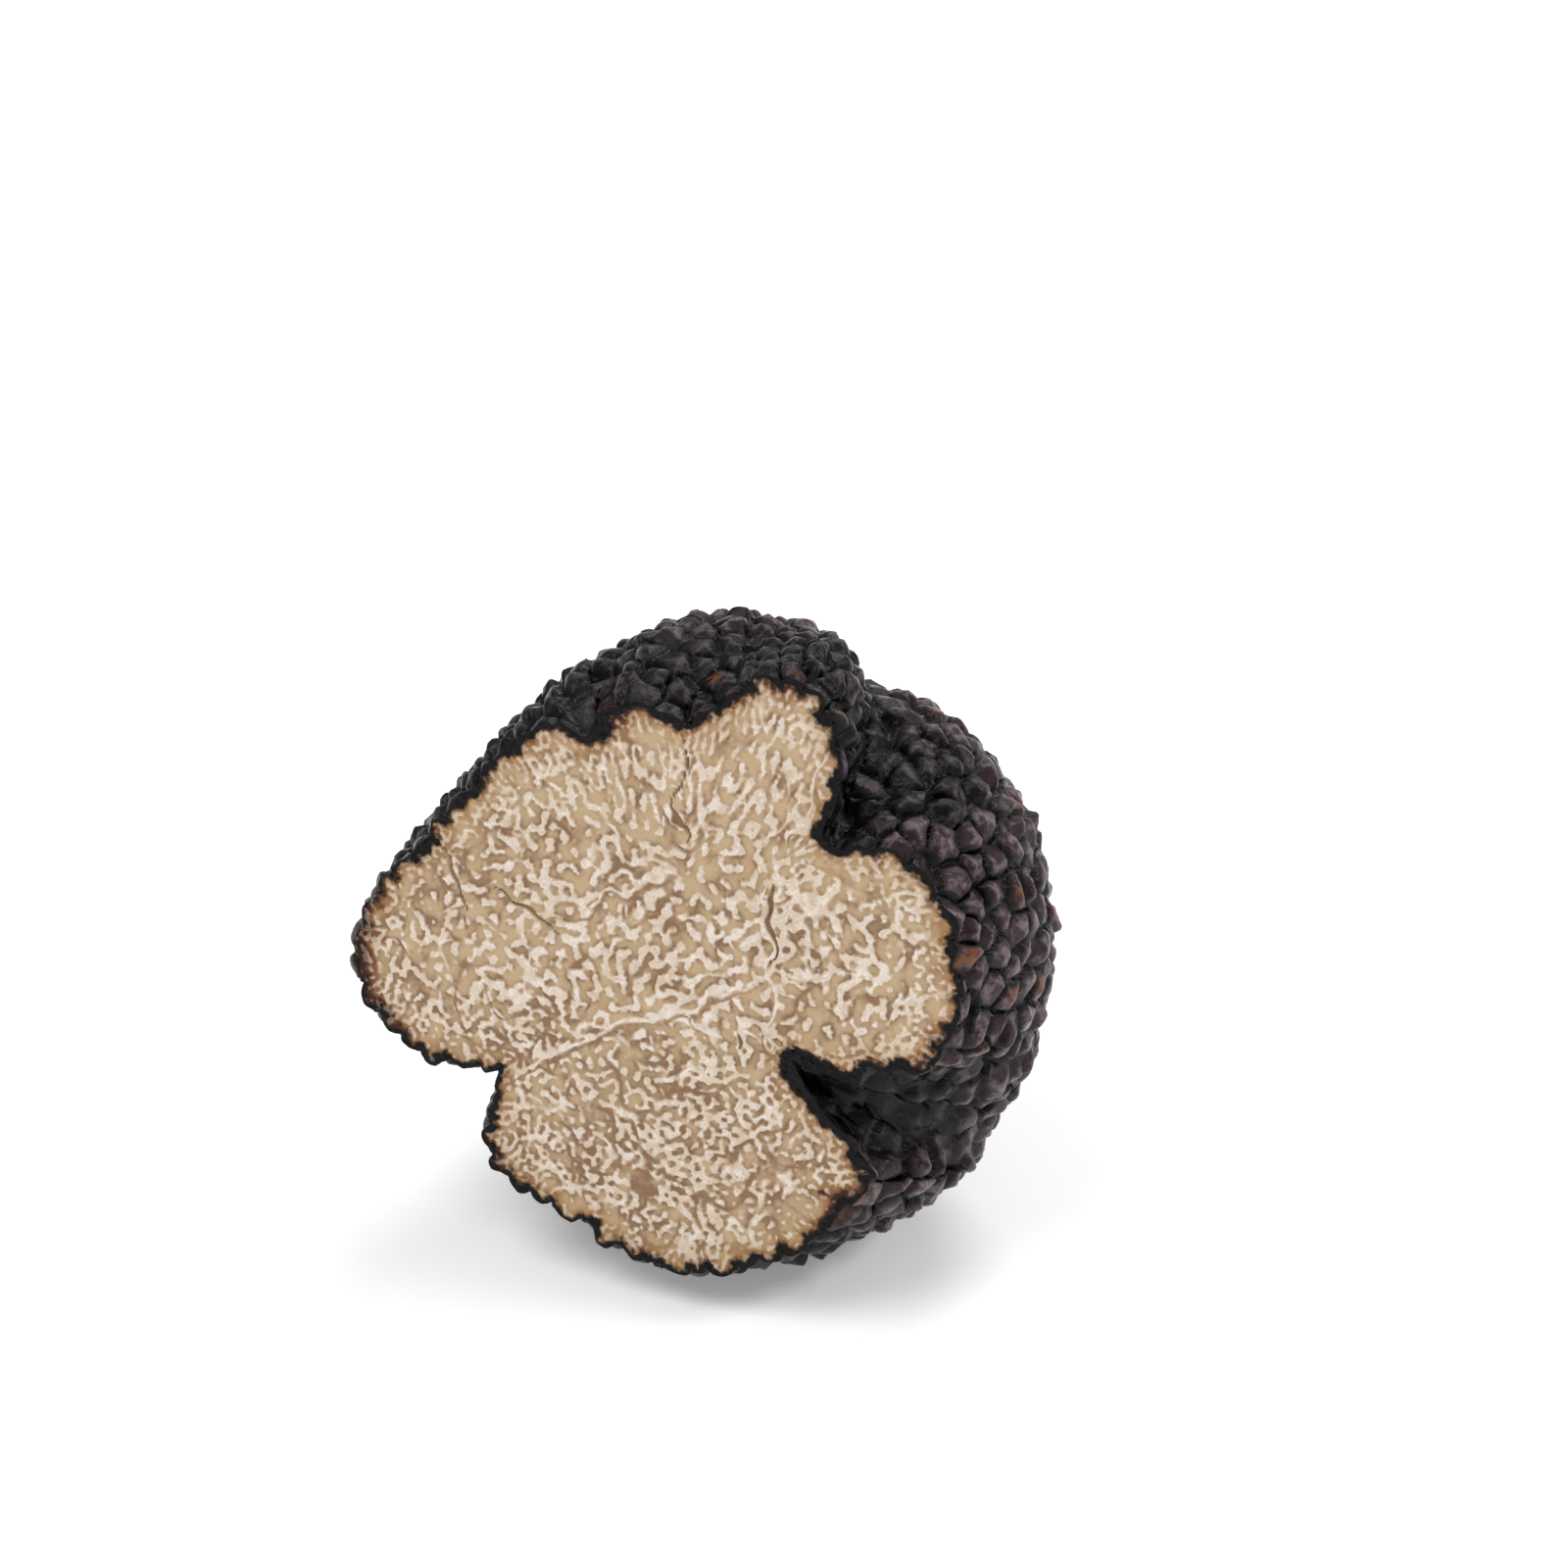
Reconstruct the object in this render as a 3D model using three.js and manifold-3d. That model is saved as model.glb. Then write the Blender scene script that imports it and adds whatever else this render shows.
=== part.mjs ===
// Half of a black truffle, standing on its rounded skin with the cut face turned to -Y.
// One solid: a lobed body covered all over with pyramid-shaped warts, sliced flat in front and pressed flat
// in a small spot underneath. Millimetres and degrees, +Z up, origin under the middle of the body.
//
// The body is described in the face's own frame: x runs to the right along the cut face, y up the face and z
// straight out of it, from a point in the middle of the cut, so the body lies at z below 0. An azimuth is
// measured in the face from +x towards +y, and a depth angle from the face (0) to straight behind it (90).

import * as THREE from "three";
import { ConvexHull } from "three/addons/math/ConvexHull.js";
import { mergeVertices } from "three/addons/utils/BufferGeometryUtils.js";
import Module from "manifold-3d";

// Overall body
const BODY_RADIUS = 27; // the round form that the lobes and furrows grow on
const FACE_OFFSET = 9; // how far the cut lies in front of the middle of that form
const RIM_RADIUS = 24.2; // mean radius of the cut face before its lobes
const RIM_REACH = 18; // depth angle over which the rim eases into the round form
const FACE_LEAN = 8; // how far the face leans back from upright
const FLOOR_DROP = 33.2; // from the middle of the face down to the surface that it rests on
const FACE_X = 1.4; // the middle of the face, from the origin
const FACE_Y = -16.7;

// Lobes (raised) and furrows (sunk) that meet the cut face. Each fades over its run of depth angle, and
// drift turns it by so many degrees for each degree of depth.
const LOBES = [
  { azimuth: 191, height: 7, spread: 21, run: 45 }, // the long lobe to the left
  { azimuth: 271, height: 4.9, spread: 25, run: 45 }, // the foot
  { azimuth: 70, height: 4.9, spread: 13, run: 24 }, // the crown
  { azimuth: 236, height: 3.2, spread: 12, run: 40 },
  { azimuth: 14, height: 1.4, spread: 20, run: 40 },
  { azimuth: 298, height: 1.4, spread: 12, run: 50 },
];
const FURROWS = [
  { azimuth: 326, height: -6, spread: 6, run: 22, power: 6 }, // the deep fissure
  { azimuth: 334, height: -6.5, spread: 12, run: 22, power: 4 }, // its sloping upper side
  { azimuth: 46, height: -5.8, spread: 7.5, run: 45, drift: 0.5 }, // the valley beside the crown
  { azimuth: 219, height: -4.6, spread: 6, run: 40 },
  { azimuth: 89, height: -2.6, spread: 8, run: 25 },
  { azimuth: 113, height: -2.2, spread: 5, run: 20 },
];

// Rounded swellings of the skin behind the face, and one broad hollow
const SWELLINGS = [
  { azimuth: 100, depth: 38, height: 1.6, spread: 24 },
  { azimuth: 22, depth: 35, height: 2, spread: 24 },
  { azimuth: 322, depth: 35, height: 6, spread: 26 },
  { azimuth: 142, depth: 38, height: -2.8, spread: 28 },
  { azimuth: 268, depth: 20, height: 1.2, spread: 18 },
  { azimuth: 272, depth: 54, height: 5.8, spread: 24 }, // carries the weight behind the foot
];

// Warts
const WART_SPACING = 2.1; // least distance from one wart's tip to the next
const SPACING_TO_THE_RIGHT = 0.35; // how much larger it is at the right end, and smaller at the left
const SPACING_SWING = 0.3; // how much it varies in patches, whose size along x, y and z is next
const PATCH = new THREE.Vector3(5, 6, 8);
const WART_HEIGHT = 0.72; // tip above the smooth body
const CREASE_DEPTH = 0.42; // the creases between warts, below it
const HEIGHT_SWING = 0.3; // share by which one wart is taller or lower than another
const DEEP_FURROW = 7; // in a furrow this deep the warts keep the next share of their height
const DEEP_SHARE = 0.5;
const LEAST_SHARE = 0.12; // how near a corner of the creases may come to a line between two tips
const SCRAP_SPACING = 7; // the part that is sliced away needs no fine warts,
const SCRAP_FROM = 0.2; // from this height over the cut, as a share of the distance to its middle

// Order in which directions are tried for warts: i, STRIDE * i + START and so on visits each one once
const CANDIDATES = 32768;
const STRIDE = 20077;
const START = 12345;

const NORMAL_STEP = 0.01; // between the directions that a normal is worked out from
const MERGE_WITHIN = 1e-4;
const BLOCK = 120; // a cutting block larger than the body

const radians = THREE.MathUtils.degToRad;
const degrees = THREE.MathUtils.radToDeg;
const bell = (x, power = 2) => Math.exp(-(Math.abs(x) ** power));
const wrapped = (angle) => ((((angle + 180) % 360) + 360) % 360) - 180;

// Unit direction in the face's frame from an azimuth and a depth angle.
function direction(azimuth, depth) {
  const a = radians(azimuth);
  const b = radians(depth);
  return new THREE.Vector3(Math.cos(a) * Math.cos(b), Math.sin(a) * Math.cos(b), -Math.sin(b));
}

// How far a lobe or furrow moves the body at an azimuth and depth angle.
function lobeHeight(lobe, azimuth, depth) {
  const middle = lobe.azimuth + (lobe.drift ?? 0) * depth;
  const across = wrapped(azimuth - middle) * Math.cos(radians(depth));
  return lobe.height * bell(across / lobe.spread, lobe.power) * bell(depth / lobe.run);
}

const swellings = SWELLINGS.map((s) => ({ ...s, towards: direction(s.azimuth, s.depth) }));

// The smooth body in one direction: its distance from the middle of the face, and how deep a furrow is there.
function smoothBody(d) {
  const azimuth = degrees(Math.atan2(d.y, d.x));
  const depth = degrees(Math.asin(THREE.MathUtils.clamp(-d.z, -1, 1)));
  const round = Math.sqrt(BODY_RADIUS ** 2 - FACE_OFFSET ** 2 * (1 - d.z ** 2)) - FACE_OFFSET * d.z;
  const roundRim = Math.sqrt(BODY_RADIUS ** 2 - FACE_OFFSET ** 2);
  let distance = round + (RIM_RADIUS - roundRim) * bell(depth / RIM_REACH);
  let furrow = 0;
  for (const lobe of LOBES) distance += lobeHeight(lobe, azimuth, depth);
  for (const f of FURROWS) furrow -= lobeHeight(f, azimuth, depth);
  for (const s of swellings) distance += s.height * bell(degrees(d.angleTo(s.towards)) / s.spread);
  return { distance: distance - furrow, furrow };
}

// Point of the smooth body in one direction.
function bodyPoint(d) {
  return d.clone().multiplyScalar(smoothBody(d).distance);
}

// Outward normal of the smooth body in one direction, from two points close by.
function bodyNormal(d) {
  const side = new THREE.Vector3(0, 0, 1).cross(d).normalize();
  const up = d.clone().cross(side);
  const here = bodyPoint(d);
  const a = bodyPoint(d.clone().addScaledVector(side, NORMAL_STEP).normalize()).sub(here);
  const b = bodyPoint(d.clone().addScaledVector(up, NORMAL_STEP).normalize()).sub(here);
  return a.cross(b).normalize();
}

// The smooth body's point in one direction, moved out along its normal; less so in a furrow.
function raised(d, height) {
  const depth = Math.min(1, smoothBody(d).furrow / DEEP_FURROW);
  const share = 1 - (1 - DEEP_SHARE) * depth;
  return bodyPoint(d).addScaledVector(bodyNormal(d), height * share);
}

// Candidate number i of an even spread of directions over the whole sphere.
function candidate(i) {
  const z = 1 - (2 * (i + 0.5)) / CANDIDATES;
  const turn = i * Math.PI * (3 - Math.sqrt(5));
  const r = Math.sqrt(1 - z * z);
  return new THREE.Vector3(r * Math.cos(turn), r * Math.sin(turn), z);
}

// Distance that a wart at point p keeps from the others.
function spacing(d, p) {
  if (d.z > SCRAP_FROM) return SCRAP_SPACING;
  const patches = Math.sin(p.x / PATCH.x) * Math.cos(p.y / PATCH.y + p.z / PATCH.z);
  return WART_SPACING + SPACING_TO_THE_RIGHT * d.x + SPACING_SWING * patches;
}

// Directions of the warts' tips: candidates taken in a fixed scrambled order, each kept if it has room.
function wartTips() {
  const kept = [];
  let i = 1;
  for (let n = 0; n < CANDIDATES; n++) {
    i = (STRIDE * i + START) % CANDIDATES;
    const d = candidate(i);
    const p = bodyPoint(d);
    const room = spacing(d, p);
    if (kept.every((other) => other.p.distanceTo(p) >= room)) kept.push({ d, p });
  }
  return kept.map((wart) => wart.d);
}

// Where the creases round three neighbouring warts meet: as far from each tip, but inside their triangle.
function creaseCorner(a, b, c) {
  const [pa, pb, pc] = [a, b, c].map(bodyPoint);
  const [la, lb, lc] = [pb.distanceToSquared(pc), pc.distanceToSquared(pa), pa.distanceToSquared(pb)];
  const shares = [la * (lb + lc - la), lb * (lc + la - lb), lc * (la + lb - lc)];
  const least = LEAST_SHARE * shares.reduce((sum, x) => sum + Math.abs(x), 0);
  const [sa, sb, sc] = shares.map((x) => Math.max(x, least));
  const middle = new THREE.Vector3().addScaledVector(a, sa).addScaledVector(b, sb).addScaledVector(c, sc);
  return middle.normalize();
}

// Closed surface of pyramids: each wart is a fan of faces from its tip to the creases round it.
function wartyGeometry() {
  const tips = wartTips();
  const index = new Map(tips.map((d, i) => [d, i]));
  const vertices = tips.map((d, i) => raised(d, WART_HEIGHT * (1 + HEIGHT_SWING * Math.sin(i))));
  const corner = new Map();
  const hull = new ConvexHull().setFromPoints(tips);
  for (const face of hull.faces) {
    const [a, b, c] = [face.edge.prev, face.edge, face.edge.next].map((edge) => edge.head().point);
    corner.set(face, vertices.length);
    vertices.push(raised(creaseCorner(a, b, c), -CREASE_DEPTH));
  }
  const triangles = [];
  for (const face of hull.faces) {
    let edge = face.edge;
    do {
      triangles.push(index.get(edge.tail().point), corner.get(edge.twin.face), corner.get(face));
      edge = edge.next;
    } while (edge !== face.edge);
  }
  const geometry = new THREE.BufferGeometry().setFromPoints(vertices);
  geometry.setIndex(triangles);
  return geometry.applyMatrix4(faceFrame);
}

// The face's frame in the part's frame: leaned back, and lifted so that the foot stands at Z = 0.
const lean = radians(FACE_LEAN);
const faceFrame = new THREE.Matrix4().makeBasis(
  new THREE.Vector3(1, 0, 0),
  new THREE.Vector3(0, Math.sin(lean), Math.cos(lean)),
  new THREE.Vector3(0, -Math.cos(lean), Math.sin(lean)),
);
faceFrame.setPosition(FACE_X, FACE_Y, FLOOR_DROP);

const wasm = await Module();
wasm.setup();

// A closed geometry as a solid that can be cut.
function solidOf(geometry) {
  const bare = geometry.clone();
  bare.deleteAttribute("normal");
  bare.deleteAttribute("uv");
  const merged = mergeVertices(bare, MERGE_WITHIN);
  return new wasm.Manifold(
    new wasm.Mesh({
      numProp: 3,
      vertProperties: new Float32Array(merged.attributes.position.array),
      triVerts: new Uint32Array(merged.index.array),
    }),
  );
}

// A solid back as a geometry.
function geometryOf(solid) {
  const mesh = solid.getMesh();
  const geometry = new THREE.BufferGeometry();
  geometry.setAttribute("position", new THREE.BufferAttribute(mesh.vertProperties, 3));
  geometry.setIndex(new THREE.BufferAttribute(mesh.triVerts, 1));
  geometry.computeVertexNormals();
  return geometry;
}

// The half that is sliced away: everything in front of the cut face.
function otherHalf() {
  const block = new THREE.BoxGeometry(BLOCK, BLOCK, BLOCK);
  return block.translate(0, 0, BLOCK / 2).applyMatrix4(faceFrame);
}

// Everything below the surface that the truffle rests on.
function floor() {
  return new THREE.BoxGeometry(BLOCK, BLOCK, BLOCK).translate(0, 0, -BLOCK / 2);
}

function truffleHalf() {
  const standing = solidOf(wartyGeometry()).subtract(solidOf(floor()));
  const half = standing.subtract(solidOf(otherHalf()));
  const skin = new THREE.MeshStandardMaterial({ color: 0x1d1a1b, roughness: 0.62, metalness: 0 });
  const mesh = new THREE.Mesh(geometryOf(half), skin);
  mesh.name = "truffle_half";
  return mesh;
}

const truffle = new THREE.Group();
truffle.add(truffleHalf());

export default truffle;
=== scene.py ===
"""Looks of the black truffle half: warty skin, marbled cut face, floor, light and camera.

Lengths are in millimetres and angles in degrees until a mesh is made, which is in metres.
The skin is worked out in the face's own frame, as in the CAD: x to the right along the cut
face, y up the face and z straight out of it, from a point in the middle of the cut. An
azimuth runs in the face from +x towards +y, and a depth angle from the face (0) to straight
behind it (90).
"""

import math

import bpy
import numpy as np
from mathutils import Matrix, Vector, noise
from mathutils.kdtree import KDTree


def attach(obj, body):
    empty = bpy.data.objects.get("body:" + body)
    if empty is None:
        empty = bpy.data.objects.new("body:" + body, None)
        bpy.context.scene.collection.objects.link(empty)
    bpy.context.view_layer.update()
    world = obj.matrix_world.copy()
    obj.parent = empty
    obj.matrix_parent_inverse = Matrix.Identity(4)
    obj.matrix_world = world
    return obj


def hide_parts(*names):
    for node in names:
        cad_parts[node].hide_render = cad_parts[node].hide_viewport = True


MM = 0.001
FAR = 1e9  # further away than anything is

# Overall body, the same values as the CAD's
BODY_RADIUS = 27.0
FACE_OFFSET = 9.0
RIM_RADIUS = 24.2
RIM_REACH = 18.0
FACE_LEAN = 8.0
FACE_MIDDLE = np.array([1.4, -16.7, 33.2])
LOBES = [
    {"azimuth": 191, "height": 7.0, "spread": 21, "run": 45},
    {"azimuth": 271, "height": 4.9, "spread": 25, "run": 45},
    {"azimuth": 70, "height": 4.9, "spread": 13, "run": 24},
    {"azimuth": 236, "height": 3.2, "spread": 12, "run": 40},
    {"azimuth": 14, "height": 1.4, "spread": 20, "run": 40},
    {"azimuth": 298, "height": 1.4, "spread": 12, "run": 50},
]
FURROWS = [
    {"azimuth": 326, "height": -6.0, "spread": 6, "run": 22, "power": 6},
    {"azimuth": 334, "height": -6.5, "spread": 12, "run": 22, "power": 4},
    {"azimuth": 46, "height": -5.8, "spread": 7.5, "run": 45, "drift": 0.5},
    {"azimuth": 219, "height": -4.6, "spread": 6, "run": 40},
    {"azimuth": 89, "height": -2.6, "spread": 8, "run": 25},
    {"azimuth": 113, "height": -2.2, "spread": 5, "run": 20},
]
SWELLINGS = [
    {"azimuth": 100, "depth": 38, "height": 1.6, "spread": 24},
    {"azimuth": 22, "depth": 35, "height": 2.0, "spread": 24},
    {"azimuth": 322, "depth": 35, "height": 6.0, "spread": 26},
    {"azimuth": 142, "depth": 38, "height": -2.8, "spread": 28},
    {"azimuth": 268, "depth": 20, "height": 1.2, "spread": 18},
    {"azimuth": 272, "depth": 54, "height": 5.8, "spread": 24},
]
NORMAL_STEP = 0.01  # radians between the places that a normal is worked out from
NORMAL_NUDGE = 1e-9  # keeps sideways defined straight in front and straight behind

# Warts: their places by the CAD's rule
WART_SPACING = 2.1
SPACING_TO_THE_RIGHT = 0.35
SPACING_SWING = 0.3
PATCH = (5.0, 6.0, 8.0)
WART_HEIGHT = 0.72
CREASE_DEPTH = 0.42
HEIGHT_SWING = 0.3
DEEP_FURROW = 7.0
DEEP_SHARE = 0.5
SCRAP_SPACING = 7.0
SCRAP_FROM = 0.2
CANDIDATES = 32768
STRIDE = 20077
START = 12345

# Warts: their finer shape
WALL_WEIGHT = 3.0  # keeps warts on a furrow's two walls apart: mm for a turn of the skin by 1
NEIGHBOURS = 9  # a wart is shaped against this many others at most
BLOCK = 8192  # points worked on at once
WANDER = 0.3  # how far the creases stray from straight lines
WANDER_LENGTH = 1.6
WANDER_SEED = 5  # without a seed, vector noise takes its offsets from the clock
WART_SEED = 7
TINT_SEED = 11
SIDE_SLOPE = 4.0  # how steeply a wart rises from its creases
SHOULDER = 0.5  # share of its height where its steep sides turn into the pyramid on top
TILT = 0.2  # how far a wart's top may lean
LEAN_INSIDE = (0.05, 0.5)  # how far inside a wart its lean sets in
CHIP_SLOPE = 0.6  # slope of the flat facets on a wart
CHIPS = 3  # facets on each wart
CHIP_TOPS = (0.78, 1.25)  # heights at which facets cut the wart's axis, as shares of its own
DOME_SOFTNESS = 0.05
FACET_SOFTNESS = 0.025
SPINE_WIDTH = 0.2  # of the edges where a wart's own sides meet
SPINE_DEPTH = 0.05
FACET_EDGE = 0.06  # of the edges between its facets
EDGE_INSIDE = (0.1, 0.35)  # how far inside a wart its edges set in
GRAIN = 0.035  # fine unevenness of the skin
GRAIN_LENGTH = 0.55
FINE_GRAIN = 0.5  # share of a second, finer grain
FINE_GRAIN_RATIO = 2.3
FINE_GRAIN_OFFSET = 5.0

# Meshes
RINGS = 222  # from the middle to the rim, in the skin and in the cut face alike
RIM_STEPS = 7200  # stretches that the smooth rim is measured in
EVENING_POWER = 3  # how late towards the rim the points turn to even spacing
RIM_SHIFT_REACH = 7.0  # depth angle over which the skin's relief turns into the cut's plane
RIM_BLEND = 0.16  # share of the face's radius over which its rings take up the rim's warts
RIM_FINENESS = 0.2  # step of the places set along the rim, as a share of its own points' step
LENS_DEPTH = 5.0  # how far the flesh's own piece reaches in behind the cut face
LENS_GAP = 1.0
SHARP_ANGLE = 75

# Marbling: one square of winding ridges over the whole cut, grown from noise round by round
GRID = 720  # points along each side
GRID_STEP = 0.095
BAND_SPREAD = 0.48  # spread of the lengths in a pattern, as a share of the middle one
BROADER_CUT = 1.1  # more takes out more of the lengths near the limit
GROWTH_SEED = 1
ROUNDS = 6
STEEPNESS = 1.6
LOBES_SHARE = 0.75  # weight of the small lobes on the ridges
LOBES_LENGTH = 0.52  # their length as a share of the ridges'
MIDDLE_WAVE = 1.45  # from ridge to ridge
LOWER_WAVE = 1.15
STREAKS = {"wave": 0.95, "stretch": 2.8}
RIM_STREAKS = {"wave": 0.75, "stretch": 1.5}
SECTORS = 8  # directions in which streaks are drawn out
FILLED = 0.24  # how much more of the flesh is tan and brown than cream
ROUGH = 0.5  # unevenness laid over the grown pattern
SMOOTHED = 0.3  # length below which the grown pattern is smoothed
UPPER_PART = (6.0, 14.0)  # heights between which it turns into streaks
UPPER_DROOP = 0.3  # how much higher those heights are for each millimetre to a side
UPPER_CALM = 0.5  # how much of the patches is lost there
LOWER_HALF = (-4.0, -10.0)  # heights on the face between which the pattern gets finer
RIM_ZONE = (7.0, 1.5)  # distances from the rim between which it gets finest
RIM_SHARE = 0.85  # how much of it is then the rim's own
RIM_DIRECTIONS = 720  # in which the rim's distance is known for that

# Noise fields laid over one another, each of lengths about one or above one
PATCHES = [{"seed": 3, "above": 1.9, "weight": 0.55}, {"seed": 13, "above": 6.0, "weight": 0.32}]
ROUGHNESS = [{"seed": 2, "about": 0.6, "weight": 1.0}, {"seed": 5, "about": 0.38, "weight": 0.6}]
DARKER = [{"seed": 4, "about": 2.3, "weight": 0.8}, {"seed": 14, "above": 3.4, "weight": 0.6}]
LIGHTER = [{"seed": 7, "above": 4.5, "weight": 0.5}, {"seed": 8, "above": 2.2, "weight": 0.55}]
OLIVE = [{"seed": 6, "above": 4.0, "weight": 1.0}]
ASTRAY = [{"seed": 9, "above": 2.5, "weight": 1.0}]
ASTRAY_BY = 0.38  # how far veins and cracks stray from their lines

# Winding lines in the pattern: a cream web and brown rivers
WEB = {"seed": 21, "wave": 7.0, "width": 0.2, "level": -0.75, "strength": 1.0}
RIVERS = {"seed": 31, "wave": 6.0, "width": 0.3, "level": 0.7, "strength": 0.9}
UPRIGHT = {"wave": 0.8, "stretch": 2.4}  # these lines in the upper part, next to elsewhere
FADE_LENGTH = 3.0
FADE = (-0.6, 0.7)

# How the flesh's colour is made up on the grid
TAN_FROM = (-0.2, 0.2)  # heights of the ridges between which cream turns into tan
PLATE_LENGTH = 1.0  # breadth over which the flesh counts as filled
CHANNEL_LENGTH = 0.45  # the same for the narrow channels between cream ridges
CHANNEL_FILLED = (0.5, 0.92)
CHANNEL_OPEN = (1.0, 0.7)
HIGH_RIDGES = (0.1, 1.1)
USUAL_FILLED = 0.6
DEPTH_START = 0.14
DEPTH_WEIGHTS = {
    "lower": 0.18,
    "ridges": 0.3,
    "channels": 0.4,
    "filled": -0.5,
    "dark": 0.2,
    "light": -0.16,
    "rivers": 0.4,
    "upper": -0.2,
}
PLATE_FILLED = (0.5, 0.95)
PLATE_OLIVE = 0.15
PLATE_DARK = 0.12
LIGHTEST = (-3.0, 0.0)  # place on the face round which the flesh is lightest
LIGHTEST_REACH = 10.0
LIGHTEST_GAIN = 1.1
LIGHTEST_LESS = 0.4

# Low relief of the cut
FLESH_RELIEF = 0.09
RELIEF_TOP = 0.6
RELIEF_FILLED = (-0.45, 0.4)
RELIEF_SINK = 1.2
RELIEF_FLAT = 0.6
RELIEF_DEEP = 0.6
RELIEF_FROM_RIM = (0.1, 0.9)

# Veins: a cream ridge with a brown line beside it
VEINS = [
    {
        "width": 0.3,
        "line": [
            (-15.4, -13.4),
            (-8.9, -9.0),
            (-5.7, -7.4),
            (-3.0, -5.5),
            (1.1, -3.8),
            (4.2, -2.0),
            (7.7, 0.1),
        ],
    },
    {
        "width": 0.27,
        "line": [
            (8.1, 9.3),
            (7.8, 6.5),
            (8.2, 3.9),
            (8.2, 1.1),
            (9.1, -1.5),
            (8.4, -4.4),
            (10.3, -6.8),
        ],
    },
    {"width": 0.26, "line": [(-0.3, 8.6), (-3.5, 6.9), (-6.6, 5.2), (-8.4, 4.0)]},
    {"width": 0.24, "line": [(13.2, 22.6), (11.6, 18.8), (11.4, 15.2), (9.3, 12.2)]},
    {"width": 0.13, "line": [(1.1, -3.8), (2.5, -5.1), (4.4, -6.6)]},
]
VEIN = {"spread": 1.2, "fill": -0.8, "rise": 1.2}
SHADOW = {"apart": 2, "fill": 0.9, "fill_share": 0.9, "depth": 0.8, "depth_share": 0.8}
LINE_ENDS = (0.02, 0.98)
LINE_TAPER = 0.5

# Cracks: a dark core between cream lips
CRACKS = [
    {"width": 0.2, "line": [(-17.3, 4.2), (-14.4, 2.4), (-11.4, 1.1)]},
    {"width": 0.16, "line": [(-22.0, 7.3), (-21.3, 4.9), (-19.6, 1.9)]},
    {"width": 0.16, "line": [(0.0, 22.1), (0.0, 18.6), (-0.6, 14.9), (0.4, 11.5)]},
    {"width": 0.2, "line": [(8.6, 9.0), (8.3, 6.5), (8.7, 3.9), (8.7, 2.1)]},
    {"width": 0.35, "line": [(6.3, -5.6), (5.8, -6.7)]},
]
CRACK_POWER = 4
CRACK_LIP = {"spread": 2, "fill": -0.7, "rise": 0.6}
CRACK_CORE = {"fill": 1.2, "depth": 1.0, "sink": 3.0}

# The black rind on the cut
RIND = 0.16  # its width
TEETH = 0.62  # how far its teeth reach in

# Where it reaches further in, or less far: places on the face, how far round them, how deep
NICKS = [
    {"place": (-29.0, -2.0), "reach": 9.0, "depth": -0.3},
    {"place": (11.5, -7.6), "reach": 2.6, "depth": 1.0},
    {"place": (15.0, -8.5), "reach": 4.0, "depth": 0.5},
    {"place": (18.2, 10.0), "reach": 0.8, "depth": 1.6},
    {"place": (13.4, 14.6), "reach": 1.3, "depth": 1.0},
    {"place": (-7.8, 20.4), "reach": 1.3, "depth": 1.1},
    {"place": (14.2, -18.8), "reach": 0.7, "depth": 1.2},
]

# Rust-brown patches on the rim: places on the face, how far they reach, how strong they are
RUST = [
    {"place": (-30.0, -4.0), "reach": 5.0, "strength": 1.0},
    {"place": (-28.5, -11.5), "reach": 3.5, "strength": 0.7},
    {"place": (-7.1, 21.5), "reach": 3.0, "strength": 0.9},
    {"place": (8.6, 27.0), "reach": 2.5, "strength": 0.6},
    {"place": (17.0, -19.8), "reach": 2.6, "strength": 1.0},
    {"place": (18.9, 10.4), "reach": 1.6, "strength": 1.0},
    {"place": (23.5, -3.0), "reach": 2.5, "strength": 0.6},
    {"place": (-17.5, -25.0), "reach": 4.0, "strength": 0.6},
    {"place": (-3.5, -29.9), "reach": 3.0, "strength": 0.5},
]

# Where the skin turns from blue-black to the lighter purple-brown, in the part's frame: partly its own
# tint, partly painted rim light on the right and at the back
PURPLE_RIGHT = (14, 25)
PURPLE_BELOW = (54, 44)
PURPLE_BACK = (-5, 5)
PURPLE_PLACE = 0.75
PURPLE_PATCHES = {"length": 7.0, "weight": 0.4}
PURPLE_SPOTS = {"length": 2.5, "weight": 0.2, "offset": 4.0}
PURPLE_MORE = 0.1
PURPLE_FROM = (0.1, 0.9)

# Screen colours, 0 to 255
SKIN_COLOURS = {
    "black": (2, 2, 3),
    "blue_black": (16, 18, 21),
    "dark_purple": (15, 11, 13),
    "purple_brown": (67, 47, 52),
    # Painted highlight: light purplish-white lines along the warts' ridges and facet edges
    "edge_highlight": (140, 122, 127),
    "rusty_tip": (128, 76, 46),
    "rust": (96, 52, 34),
    # Painted shade: darker low on each wart, darker still between the warts and in the deep furrows
    "low": (10, 10, 11),
    "crease_shade": (3, 3, 4),
    "furrow": (1, 1, 2),
}
FLESH_COLOURS = {
    "light_tan": (200, 173, 140),
    "tan": (180, 151, 121),
    "brown": (141, 110, 83),
    "plate": (192, 167, 130),
    "cream": (213, 193, 170),
    "high_cream": (223, 206, 190),
    "light": (239, 227, 217),
    "olive": (212, 194, 160),
    "dull": (203, 181, 154),
    # Painted highlight on the crests of the cream ridges
    "crest_highlight": (245, 236, 228),
    "grain": (204, 182, 155),
    "near_rim": (186, 150, 102),
    "glow": (160, 114, 66),
    "rusty_glow": (112, 62, 40),
    "burnt": (78, 46, 28),
    "rusty_burnt": (50, 24, 20),
    "rind": (4, 4, 5),
}

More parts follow.
